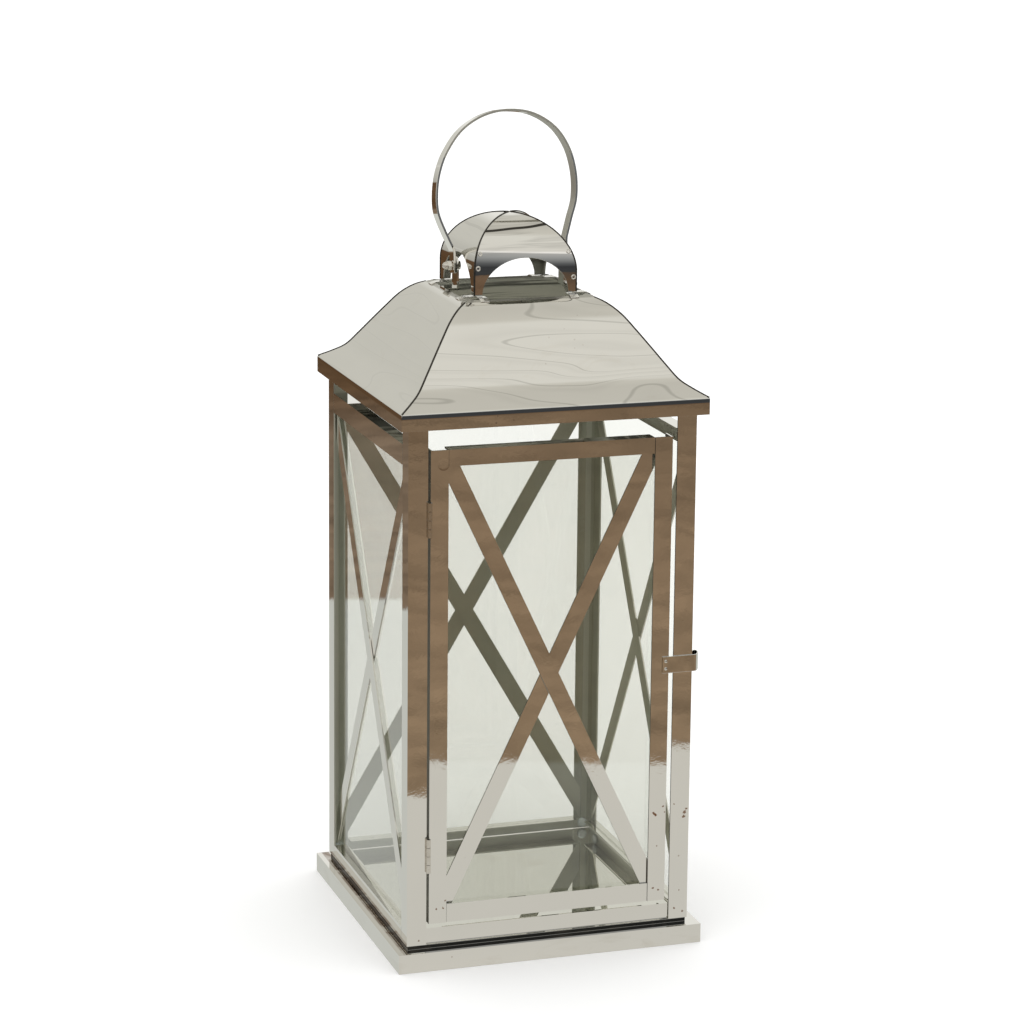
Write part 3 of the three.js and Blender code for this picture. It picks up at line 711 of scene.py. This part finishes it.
def along(path, fraction):
    """The point at this fraction of a path's length."""
    lengths = [0.0]
    for (x0, z0), (x1, z1) in zip(path, path[1:]):
        lengths.append(lengths[-1] + math.hypot(x1 - x0, z1 - z0))
    want = fraction * lengths[-1]
    for k in range(len(path) - 1):
        if lengths[k + 1] >= want:
            w = (want - lengths[k]) / max(lengths[k + 1] - lengths[k], 1e-9)
            return tuple(a + (b - a) * w for a, b in zip(path[k], path[k + 1]))
    return path[-1]


def crown_gore(side):
    """One gore: the curved sheet between its arched opening and its two seams."""
    left, right = SIDES[side], SIDES[side] + 1
    gap = 0.12
    right_edge = [(h - gap, z) for h, z in crown_outline(right, 90)]
    left_edge = [(-h + gap, z) for h, z in crown_outline(left, 90)]
    outer = right_edge + left_edge[::-1][1:]
    turns = [math.pi * i / 160 for i in range(161)]
    inner = [(ARCH_HALF * math.cos(a), FOOT + ARCH_RISE * math.sin(a)) for a in turns]
    around, across = 150, 30
    verts = []
    for i in range(around + 1):
        x0, z0 = along(inner, i / around)
        x1, z1 = along(outer, i / around)
        for k in range(across + 1):
            r = k / across
            x, z = x0 + (x1 - x0) * r, z0 + (z1 - z0) * r
            at_left, at_right = crown_half(left, z), crown_half(right, z)
            w = (x + at_left) / max(at_left + at_right, 1e-6)
            verts.append((x, -(at_left + (at_right - at_left) * min(max(w, 0), 1)), z))
    verts = turn(verts, SIDES[side])
    faces = grid_faces(around + 1, across + 1, flip=True)
    made = make_piece(f"crown_{side}", verts, faces, STEEL_CROWN, "body", [f"crown_gore_{side}"])
    solidify(made, 1.0)
    bevel(made, 0.18, 2, 50)


def crown_seam(corner):
    """The dark joint between two gores, from the foot to the apex."""
    rows = []
    for half, z in crown_outline(corner, 60)[:-1]:
        row = []
        for s, drop in ((0.34, 0.40), (0.0, 0.10), (-0.34, 0.40)):
            row.append((-(half - drop) + s, -(half - drop) - s, z))
        rows.append(row)
    seam_strip(f"crown_seam_{corner}", corner, rows, 0.4)


for side in SIDES:
    crown_gore(side)
for corner in range(4):
    crown_seam(corner)


# ------------------------------------------------------------------ rivets
def dome(name, centre, direction, radius, height, material, body, replaces):
    """A low round head that stands out along a direction."""
    n = 28
    profile = [(1.0, -0.5), (1.0, 0.2), (0.97, 0.42), (0.86, 0.66), (0.68, 0.84), (0.42, 0.95), (0.2, 0.99)]
    verts = lathe(centre, direction, [(r * radius, h * height) for r, h in profile], n)
    verts.append(tuple(Vector(centre) + Vector(direction).normalized() * height))
    faces = ring_faces(len(profile), n)
    top, last = len(verts) - 1, (len(profile) - 1) * n
    for k in range(n):
        faces.append((last + k, last + (k + 1) % n, top))
    faces.append(tuple(reversed(range(n))))
    make_piece(name, verts, faces, material, body, replaces)


def rim_rivet(name, centre, direction):
    """A tubular rivet: a bright rolled rim round a dark eye."""
    n = 28
    rings = [
        (1.8, -0.4), (1.85, 0.25), (1.7, 0.62), (1.4, 0.8),
        (1.1, 0.72), (0.95, 0.45), (0.85, 0.0), (0.4, -0.1),
    ]
    faces = ring_faces(len(rings), n)
    last = (len(rings) - 1) * n
    faces.append(tuple(last + k for k in range(n)))
    faces.append(tuple(reversed(range(n))))
    make_piece(name, lathe(centre, direction, rings, n), faces, RIVET, "body", [])


# Places (across, height) of the rivets on the front and the back gore.
STUDS = [(33.2, 503.8), (36.3, 485.4), (-33.6, 504.5), (-35.6, 494.3)]
for side, flip in (("front", 1), ("back", -1)):
    for k, (x, z) in enumerate(STUDS):
        corner = SIDES[side] + (1 if x > 0 else 0)
        depth = crown_half(corner, z)
        up = depth - crown_half(corner, z + 1.0)
        rim_rivet(f"crown_rivet_{side}_{k}", (x * flip, -depth * flip, z), (0, -flip, up))


# ------------------------------------------------------------------ bent strips
def strip(name, path, thick, width, place, material, body, replaces, edge=0.3):
    """A flat strip along a path in a plane. place carries (along x, along y, across) into space."""
    verts = []
    n = len(path)
    for i, (x, y) in enumerate(path):
        xa, ya = path[max(i - 1, 0)]
        xb, yb = path[min(i + 1, n - 1)]
        length = math.hypot(xb - xa, yb - ya)
        nx, ny = -(yb - ya) / length, (xb - xa) / length
        for side, half in ((1, 1), (1, -1), (-1, -1), (-1, 1)):
            verts.append(place(x + nx * side * thick / 2, y + ny * side * thick / 2, half * width / 2))
    faces = ring_faces(n, 4)
    faces.append((3, 2, 1, 0))
    faces.append(tuple((n - 1) * 4 + k for k in range(4)))
    made = make_piece(name, verts, faces, material, body, replaces)
    bevel(made, edge, 3, 50)


def rounded(points, radius, steps=8):
    """A broken line with its corners rounded."""
    out = [points[0]]
    for a, b, c in zip(points, points[1:], points[2:]):
        u, v = Vector(a) - Vector(b), Vector(c) - Vector(b)
        cut = min(radius, u.length * 0.45, v.length * 0.45)
        p, q = Vector(b) + u.normalized() * cut, Vector(b) + v.normalized() * cut
        for k in range(steps + 1):
            w = k / steps
            out.append(tuple(p * (1 - w) ** 2 + Vector(b) * 2 * w * (1 - w) + q * w * w))
    out.append(points[-1])
    return out


# ------------------------------------------------------------------ handle
PIVOT_Z, LEAN = 491.0, math.radians(8.5)
# The ring as (across, up from the pivots), from the left foot round to the right one.
RING = [
    (-48.7, 23.9), (-53.7, 38), (-54.2, 52), (-51.7, 66.8), (-45.7, 81.4), (-34.2, 96.6), (-18.4, 106.6),
    (0, 110.6), (20, 108), (36.8, 97.8), (47.2, 82.3), (51.7, 64), (51.4, 46), (47.3, 32),
]


def handle_place(x, up, across):
    """The ring's own plane, leaned back about the line through the pivots."""
    y, z = -across, up
    return (x, y * math.cos(LEAN) + z * math.sin(LEAN), PIVOT_Z - y * math.sin(LEAN) + z * math.cos(LEAN))


curve = catmull(RING, 260)
left_foot = rounded([(-42.7, -5.5), (-42.7, 10.5), curve[0]], 2.2)
right_foot = rounded([curve[-1], (42.7, 16.5), (42.7, -5.5)], 2.2)
line = left_foot[:-1] + curve + right_foot[1:]
strip("handle_strip", line, 1.79, 11.0, handle_place, STEEL_RING, "handle", ["handle_ring"], 0.28)

# ------------------------------------------------------------------ latch
LATCH_Z = (204.8 + 217.2) / 2
hook = rounded([
    (84, -107.7), (109, -107.7), (110.6, -106.6), (113.1, -102.4), (114.05, -98.4),
    (113.6, -96.6), (112.4, -96.0), (111.2, -96.9), (107.9, -102),
], 1.4, 6)


def latch_place(x, y, across):
    return (x, y, LATCH_Z + across)


strip("latch_spring", hook, 0.8, 12.4, latch_place, STEEL_LATCH, "latch", ["latch_strap"], 0.22)
for name, z in (("latch_rivet_lower", 208.2), ("latch_rivet_upper", 213.8)):
    dome(name + "_head", (86.4, -108.1, z), (0, -1, 0), 1.2, 0.75, PLATED, "door", [name])


# ------------------------------------------------------------------ dome nuts
def nut(side, flip):
    """A nut with a hexagon foot and a domed cap, on the left (flip -1) or the right (flip 1) bolt."""
    foot, hexagon, cap, radius = 44.0, 3.0, 3.8, 3.6
    n = 48
    # Each ring is (along the bolt, share of the radius, 1 where the outline is six-sided).
    rings = [(0.0, 0.90, 1), (0.25, 1.0, 1), (hexagon - 0.3, 1.0, 1), (hexagon, 0.93, 1), (hexagon, 0.80, 0)]
    turns = [math.pi / 2 * k / 12 for k in range(1, 12)]
    rings += [(hexagon + cap * math.sin(a), 0.80 * math.cos(a), 0) for a in turns]
    verts = []
    for x, scale, six in rings:
        for k in range(n):
            a = 2 * math.pi * k / n
            reach = radius
            if six:
                reach = radius * math.cos(math.pi / 6) / math.cos((a % (math.pi / 3)) - math.pi / 6)
            across, up = math.cos(a) * reach * scale, math.sin(a) * reach * scale
            verts.append((flip * (foot + x), across, PIVOT_Z + up))
    verts.append((flip * (foot + hexagon + cap), 0, PIVOT_Z))
    faces = ring_faces(len(rings), n, flip=flip > 0)
    tip, last = len(verts) - 1, (len(rings) - 1) * n
    for k in range(n):
        a, b = last + k, last + (k + 1) % n
        faces.append((a, b, tip) if flip < 0 else (a, tip, b))
    faces.append(tuple(range(n)) if flip > 0 else tuple(reversed(range(n))))
    made = make_piece(f"dome_nut_{side}", verts, faces, PLATED, "body", [f"handle_nut_{side}"])
    crease = made.modifiers.new("sharp", "EDGE_SPLIT")
    crease.split_angle = math.radians(32)


nut("right", 1)
nut("left", -1)

# ------------------------------------------------------------------ pads
PAD_FACING = {
    "bumper_back_left": (0, -1, 0),
    "bumper_back_right": (0, -1, 0),
    "bumper_left": (1, 0, 0),
    "bumper_right": (-1, 0, 0),
}
for name, inward in PAD_FACING.items():
    lo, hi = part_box(name)
    centre = (lo + hi) / 2 / MM - Vector(inward) * 0.55
    dome("clear_" + name, tuple(centre), inward, 3.75, 1.6, PAD, "body", [name])


# ------------------------------------------------------------------ CAD nodes that stay
def dress(node, material, width=0.3, segments=2):
    obj = NODES[node]
    obj.data.materials.clear()
    obj.data.materials.append(material)
    if width:
        bevel(obj, width, segments)


for name in NODES:
    # A finer look piece stands in for these.
    if name.startswith(("roof_panel", "crown_gore", "bumper", "handle_ring", "latch_", "handle_nut")):
        continue
    if name.endswith("glass"):
        dress(name, GLASS_SIDE if name.startswith(("left", "right")) else GLASS, 0)
    elif name.startswith("hinge") or name.startswith("handle_bolt"):
        dress(name, SEAM if name.endswith("_pin") else PLATED, 0)
        for polygon in NODES[name].data.polygons:
            polygon.use_smooth = False
    elif "strap" in name:
        dress(name, STEEL_STRAP, 0.2)
    elif name.startswith("door"):
        dress(name, STEEL_DOOR, 0.3)
    elif name == "base_tray":
        dress(name, STEEL_BASE, 0.7, 3)
    elif name == "post_front_left":
        dress(name, STEEL_POST_LEFT, 0.3)
    elif name == "post_front_right":
        dress(name, STEEL_POST_RIGHT, 0.3)
    else:
        dress(name, STEEL_FRAME, 0.3)

# ------------------------------------------------------------------ floor
bpy.ops.mesh.primitive_plane_add(size=16.0, location=(0, 0, -0.0002))
floor = bpy.context.object
floor.name = "floor"
floor.data.materials.append(pale_floor("pale_floor"))
floor.visible_glossy = False

# ------------------------------------------------------------------ studio
# What the polished steel reflects: a room by elevation, seen by glossy rays only.
world = bpy.data.worlds.new("studio")
bpy.context.scene.world = world
world.use_nodes = True
t = Tree(world.node_tree)
direction = t.node("ShaderNodeTexCoord").outputs["Generated"]
x, y, z = t.split(direction)
sway = t.times(t.minus(t.noise(t.mapped(direction, (5, 5, 9)), 1.0, 3.0, 0.55, 0.8), 0.5), 0.004)
level = t.plus(z, sway)

CREAM = (0.67, 0.655, 0.60)
PAPER = (0.69, 0.675, 0.62)
BROWN = (0.285, 0.203, 0.128)
# Elevations in degrees at which the brown room gives way to the floor, in front and behind.
FRONT_EDGE, BACK_EDGE = -17.75, -15.0


def sine(degrees):
    return math.sin(math.radians(degrees))


def ladder(stops):
    """Brightness by elevation in degrees, from two ramps so that the low part is fine."""
    rise = [(sine(angle), colour) for angle, colour in stops]
    low = t.ramp(t.scaled(level, 2.0, 0.9), [(0.9 + 2 * h, colour) for h, colour in rise if h < 0.05])
    high = t.ramp(level, [(h, colour) for h, colour in rise if h >= 0.0])
    return t.mix(t.step(level, 0.03, 0.02), low, high)


def room(open_part, closed_part, bottom, top):
    """The brown and dark room shows between two sharp edges."""
    inside = t.times(t.step(level, sine(bottom), 0.0012), t.step(level, sine(top), -0.004))
    return t.mix(inside, open_part, closed_part)


FRONT_LOW = [(-21.2, PAPER), (-20.6, (0.66, 0.65, 0.60)), (FRONT_EDGE, CREAM)]
FRONT_HIGH = [
    (34.0, (0.78, 0.765, 0.71)), (61.0, (0.80, 0.79, 0.73)), (66.0, (0.67, 0.655, 0.59)),
    (76.0, (0.62, 0.605, 0.545)), (90.0, (0.64, 0.625, 0.56)),
]
FURNITURE = [
    (0.5, CREAM), (1.0, (0.045, 0.047, 0.05)), (8.0, (0.12, 0.125, 0.13)), (20.0, (0.36, 0.37, 0.37)),
    (28.5, (0.50, 0.50, 0.49)), (29.2, (1.0, 0.99, 0.96)), (31.5, (0.98, 0.96, 0.92)),
]
FRONT_ROOM = [
    (-17.7, BROWN), (-14.5, (0.262, 0.183, 0.115)), (-12.0, (0.22, 0.152, 0.095)),
    (-11.3, (0.175, 0.115, 0.068)), (-9.55, (0.15, 0.095, 0.058)), (-9.3, (0.05, 0.052, 0.054)),
    (-4.0, (0.048, 0.05, 0.053)), (1.0, (0.045, 0.047, 0.05)), (2.0, (0.045, 0.047, 0.05)),
]
BACK = [
    (-24.0, (0.62, 0.63, 0.59)), (BACK_EDGE, (0.585, 0.60, 0.56)), (0.5, (0.90, 0.89, 0.85)),
    (3.0, (0.55, 0.545, 0.50)), (10.0, (0.63, 0.625, 0.57)), (40.0, (0.68, 0.67, 0.61)),
    (70.0, (0.62, 0.605, 0.545)), (90.0, (0.64, 0.625, 0.56)),
]
BACK_ROOM = [
    (BACK_EDGE, (0.215, 0.155, 0.105)), (-12.3, (0.195, 0.142, 0.098)), (-11.4, (0.115, 0.068, 0.036)),
    (-8.1, (0.10, 0.055, 0.026)), (-2.6, (0.12, 0.070, 0.038)), (-2.2, (0.42, 0.41, 0.37)),
    (1.0, (0.52, 0.515, 0.47)), (2.0, (0.55, 0.545, 0.50)),
]
# The dark furniture stands to the right of the door, straight ahead the room is light.
furnished = ladder(FRONT_LOW + FURNITURE + FRONT_HIGH)
open_front = ladder(FRONT_LOW + [(29.0, CREAM)] + FRONT_HIGH)
front = t.mix(t.step(x, 0.15, 0.10), open_front, furnished)
front = room(front, ladder(FRONT_ROOM), FRONT_EDGE, 1.2)
back = room(ladder(BACK), ladder(BACK_ROOM), BACK_EDGE, 2.2)
behind = t.ramp(t.scaled(y, 0.5, 0.5), [(0.46, 0.0), (0.54, 1.0)])
sky = t.mix(behind, front, back)
# Behind and to the right the backdrop is lighter.
light = t.times(t.ramp(t.scaled(x, 0.5, 0.5), [(0.50, 0.0), (0.60, 1.0)]), behind)
light = t.times(light, t.ramp(z, [(0.05, 0.0), (0.10, 1.0), (0.45, 1.0), (0.62, 0.0)]))
sky = t.mix(t.times(light, 0.75), sky, (0.98, 0.98, 0.94, 1))
# The room in the brown part, streaked like brushed grain.
grain = t.noise(t.mapped(direction, (34.0, 34.0, 210.0), (0.0, 0.06, 0.0)), 1.0, 4.0, 0.6, 1.4)
bands = t.ramp(grain, [(0.30, 0.70), (0.5, 1.0), (0.70, 1.30)])
under_horizon = t.ramp(t.scaled(level, 0.5, 0.5), [(0.5 + 0.5 * sine(-3.0), 1.0), (0.5, 0.0)])
above_floor = t.blend(behind, t.step(level, sine(FRONT_EDGE), 0.001), t.step(level, sine(BACK_EDGE), 0.001))
sky = t.mix(t.times(under_horizon, above_floor), sky, t.mix(1.0, sky, bands, "MULTIPLY"))
reflected = t.node("ShaderNodeBackground")
t.put(reflected.inputs[0], sky)
plain = t.node("ShaderNodeBackground")
plain.inputs[0].default_value = (1.0, 1.0, 1.0, 1)
plain.inputs[1].default_value = 1.25
both = t.node("ShaderNodeMixShader")
t.put(both.inputs[0], t.node("ShaderNodeLightPath").outputs["Is Glossy Ray"])
t.put(both.inputs[1], plain.outputs[0])
t.put(both.inputs[2], reflected.outputs[0])
t.surface(both, "ShaderNodeOutputWorld")

# ------------------------------------------------------------------ camera
# The eye in metres, its turns in degrees, and the shift as a share of the frame's width.
EYE = (-0.7450, -2.2851, 0.8819)
YAW, PITCH, ROLL = -18.13, 11.58, 0.56
SENSOR_MM, LENS_MM, SHIFT = 36.0, 117.784, -0.109375
yaw, pitch, roll = (math.radians(a) for a in (YAW, PITCH, ROLL))
back_axis = Vector((math.sin(yaw) * math.cos(pitch), -math.cos(yaw) * math.cos(pitch), math.sin(pitch)))
right_axis = Vector((math.cos(yaw), math.sin(yaw), 0))
up_axis = back_axis.cross(right_axis)
tilted_right = right_axis * math.cos(roll) + up_axis * math.sin(roll)
tilted_up = up_axis * math.cos(roll) - right_axis * math.sin(roll)
facing = Matrix((tilted_right, tilted_up, back_axis)).transposed()
camera = bpy.data.objects.new("camera", bpy.data.cameras.new("camera"))
bpy.context.scene.collection.objects.link(camera)
camera.matrix_world = Matrix.Translation(EYE) @ facing.to_4x4()
camera.data.sensor_width = SENSOR_MM
camera.data.lens = LENS_MM
camera.data.shift_y = SHIFT
camera.data.clip_end = 50.0
bpy.context.scene.camera = camera
bpy.context.scene.view_settings.view_transform = "Standard"
